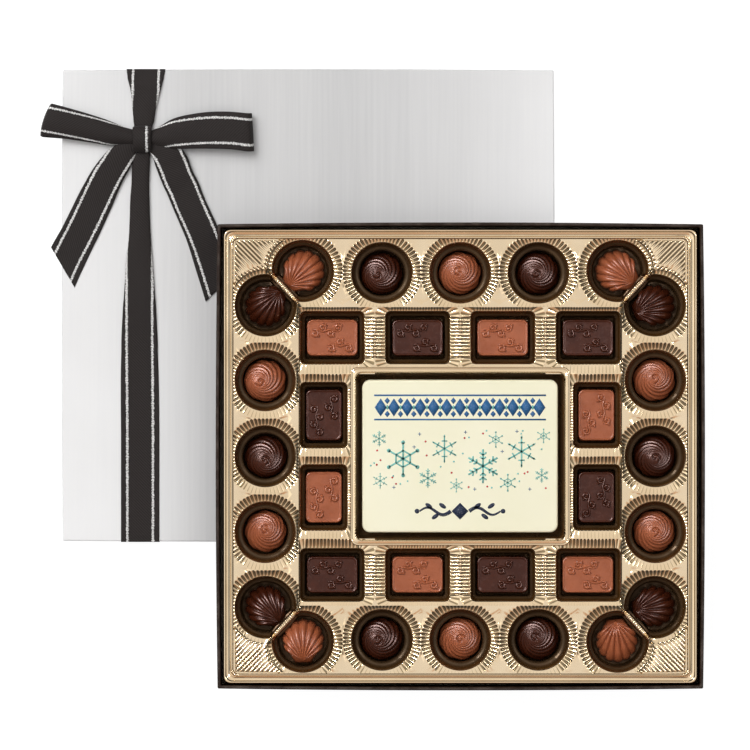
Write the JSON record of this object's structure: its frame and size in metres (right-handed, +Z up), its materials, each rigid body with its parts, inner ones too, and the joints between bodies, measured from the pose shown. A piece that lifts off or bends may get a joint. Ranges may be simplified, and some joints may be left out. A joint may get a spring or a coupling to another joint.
{
  "type": "chocolate box",
  "caption": "Square set-up box with a ribboned foil-paper lid and an open base holding a pressed insert of moulded chocolates",
  "frame": {"origin": "under the middle of the whole arrangement, on the surface that the lid lies on", "axes": "+Z up out of the open base; +X to the right and +Y away, as seen from above with the bow at the upper left"},
  "size_m": [0.3638, 0.3396, 0.0565],
  "materials": {
    "board": "matte",
    "stay_paper": "matte",
    "silver_paper": "satin",
    "brown_paper": "satin",
    "ribbon": "matte",
    "gold_foil": "polished",
    "dark_chocolate": "satin",
    "milk_chocolate": "satin",
    "printed_bar": "satin"
  },
  "bodies": {
    "lid": {"lid_board": "board", "lid_corner_stays": "stay_paper", "lid_wrap": "silver_paper", "ribbon_band": "ribbon", "bow_knot": "ribbon", "bow_loop_left": "ribbon", "bow_loop_right": "ribbon", "bow_tail_left": "ribbon", "bow_tail_right": "ribbon"},
    "base": {"base_board": "board", "base_corner_stays": "stay_paper", "base_wrap": "brown_paper"},
    "insert": {"insert_rim": "gold_foil", "insert_round_pockets": "gold_foil", "insert_block_pockets": "gold_foil", "insert_shell_pockets": "gold_foil", "insert_centre_well": "gold_foil"},
    "swirl_01_body": {"swirl_01": "dark_chocolate"},
    "swirl_02_body": {"swirl_02": "milk_chocolate"},
    "swirl_03_body": {"swirl_03": "dark_chocolate"},
    "swirl_04_body": {"swirl_04": "milk_chocolate"},
    "swirl_05_body": {"swirl_05": "milk_chocolate"},
    "swirl_06_body": {"swirl_06": "dark_chocolate"},
    "swirl_07_body": {"swirl_07": "dark_chocolate"},
    "swirl_08_body": {"swirl_08": "milk_chocolate"},
    "swirl_09_body": {"swirl_09": "milk_chocolate"},
    "swirl_10_body": {"swirl_10": "dark_chocolate"},
    "swirl_11_body": {"swirl_11": "milk_chocolate"},
    "swirl_12_body": {"swirl_12": "dark_chocolate"},
    "block_01_body": {"block_01": "milk_chocolate"},
    "block_02_body": {"block_02": "dark_chocolate"},
    "block_03_body": {"block_03": "milk_chocolate"},
    "block_04_body": {"block_04": "dark_chocolate"},
    "block_05_body": {"block_05": "dark_chocolate"},
    "block_06_body": {"block_06": "milk_chocolate"},
    "block_07_body": {"block_07": "milk_chocolate"},
    "block_08_body": {"block_08": "dark_chocolate"},
    "block_09_body": {"block_09": "dark_chocolate"},
    "block_10_body": {"block_10": "milk_chocolate"},
    "block_11_body": {"block_11": "dark_chocolate"},
    "block_12_body": {"block_12": "milk_chocolate"},
    "shell_01_body": {"shell_01": "milk_chocolate"},
    "shell_02_body": {"shell_02": "milk_chocolate"},
    "shell_03_body": {"shell_03": "dark_chocolate"},
    "shell_04_body": {"shell_04": "dark_chocolate"},
    "shell_05_body": {"shell_05": "dark_chocolate"},
    "shell_06_body": {"shell_06": "dark_chocolate"},
    "shell_07_body": {"shell_07": "milk_chocolate"},
    "shell_08_body": {"shell_08": "milk_chocolate"},
    "centre_bar_body": {"centre_bar": "printed_bar"}
  },
  "joints": [
    {"name": "base_lift", "type": "slide", "parent": "lid", "child": "base", "axis": [0, 0, 1], "range_m": [0, 0.06]},
    {"name": "insert_lift", "type": "slide", "parent": "base", "child": "insert", "axis": [0, 0, 1], "range_m": [0, 0.04]},
    {"name": "swirl_01_lift", "type": "slide", "parent": "insert", "child": "swirl_01_body", "axis": [0, 0, 1], "range_m": [0, 0.03]},
    {"name": "swirl_02_lift", "type": "slide", "parent": "insert", "child": "swirl_02_body", "axis": [0, 0, 1], "range_m": [0, 0.03]},
    {"name": "swirl_03_lift", "type": "slide", "parent": "insert", "child": "swirl_03_body", "axis": [0, 0, 1], "range_m": [0, 0.03]},
    {"name": "swirl_04_lift", "type": "slide", "parent": "insert", "child": "swirl_04_body", "axis": [0, 0, 1], "range_m": [0, 0.03]},
    {"name": "swirl_05_lift", "type": "slide", "parent": "insert", "child": "swirl_05_body", "axis": [0, 0, 1], "range_m": [0, 0.03]},
    {"name": "swirl_06_lift", "type": "slide", "parent": "insert", "child": "swirl_06_body", "axis": [0, 0, 1], "range_m": [0, 0.03]},
    {"name": "swirl_07_lift", "type": "slide", "parent": "insert", "child": "swirl_07_body", "axis": [0, 0, 1], "range_m": [0, 0.03]},
    {"name": "swirl_08_lift", "type": "slide", "parent": "insert", "child": "swirl_08_body", "axis": [0, 0, 1], "range_m": [0, 0.03]},
    {"name": "swirl_09_lift", "type": "slide", "parent": "insert", "child": "swirl_09_body", "axis": [0, 0, 1], "range_m": [0, 0.03]},
    {"name": "swirl_10_lift", "type": "slide", "parent": "insert", "child": "swirl_10_body", "axis": [0, 0, 1], "range_m": [0, 0.03]},
    {"name": "swirl_11_lift", "type": "slide", "parent": "insert", "child": "swirl_11_body", "axis": [0, 0, 1], "range_m": [0, 0.03]},
    {"name": "swirl_12_lift", "type": "slide", "parent": "insert", "child": "swirl_12_body", "axis": [0, 0, 1], "range_m": [0, 0.03]},
    {"name": "block_01_lift", "type": "slide", "parent": "insert", "child": "block_01_body", "axis": [0, 0, 1], "range_m": [0, 0.03]},
    {"name": "block_02_lift", "type": "slide", "parent": "insert", "child": "block_02_body", "axis": [0, 0, 1], "range_m": [0, 0.03]},
    {"name": "block_03_lift", "type": "slide", "parent": "insert", "child": "block_03_body", "axis": [0, 0, 1], "range_m": [0, 0.03]},
    {"name": "block_04_lift", "type": "slide", "parent": "insert", "child": "block_04_body", "axis": [0, 0, 1], "range_m": [0, 0.03]},
    {"name": "block_05_lift", "type": "slide", "parent": "insert", "child": "block_05_body", "axis": [0, 0, 1], "range_m": [0, 0.03]},
    {"name": "block_06_lift", "type": "slide", "parent": "insert", "child": "block_06_body", "axis": [0, 0, 1], "range_m": [0, 0.03]},
    {"name": "block_07_lift", "type": "slide", "parent": "insert", "child": "block_07_body", "axis": [0, 0, 1], "range_m": [0, 0.03]},
    {"name": "block_08_lift", "type": "slide", "parent": "insert", "child": "block_08_body", "axis": [0, 0, 1], "range_m": [0, 0.03]},
    {"name": "block_09_lift", "type": "slide", "parent": "insert", "child": "block_09_body", "axis": [0, 0, 1], "range_m": [0, 0.03]},
    {"name": "block_10_lift", "type": "slide", "parent": "insert", "child": "block_10_body", "axis": [0, 0, 1], "range_m": [0, 0.03]},
    {"name": "block_11_lift", "type": "slide", "parent": "insert", "child": "block_11_body", "axis": [0, 0, 1], "range_m": [0, 0.03]},
    {"name": "block_12_lift", "type": "slide", "parent": "insert", "child": "block_12_body", "axis": [0, 0, 1], "range_m": [0, 0.03]},
    {"name": "shell_01_lift", "type": "slide", "parent": "insert", "child": "shell_01_body", "axis": [0, 0, 1], "range_m": [0, 0.03]},
    {"name": "shell_02_lift", "type": "slide", "parent": "insert", "child": "shell_02_body", "axis": [0, 0, 1], "range_m": [0, 0.03]},
    {"name": "shell_03_lift", "type": "slide", "parent": "insert", "child": "shell_03_body", "axis": [0, 0, 1], "range_m": [0, 0.03]},
    {"name": "shell_04_lift", "type": "slide", "parent": "insert", "child": "shell_04_body", "axis": [0, 0, 1], "range_m": [0, 0.03]},
    {"name": "shell_05_lift", "type": "slide", "parent": "insert", "child": "shell_05_body", "axis": [0, 0, 1], "range_m": [0, 0.03]},
    {"name": "shell_06_lift", "type": "slide", "parent": "insert", "child": "shell_06_body", "axis": [0, 0, 1], "range_m": [0, 0.03]},
    {"name": "shell_07_lift", "type": "slide", "parent": "insert", "child": "shell_07_body", "axis": [0, 0, 1], "range_m": [0, 0.03]},
    {"name": "shell_08_lift", "type": "slide", "parent": "insert", "child": "shell_08_body", "axis": [0, 0, 1], "range_m": [0, 0.03]},
    {"name": "centre_bar_lift", "type": "slide", "parent": "insert", "child": "centre_bar_body", "axis": [0, 0, 1], "range_m": [0, 0.03]}
  ]
}
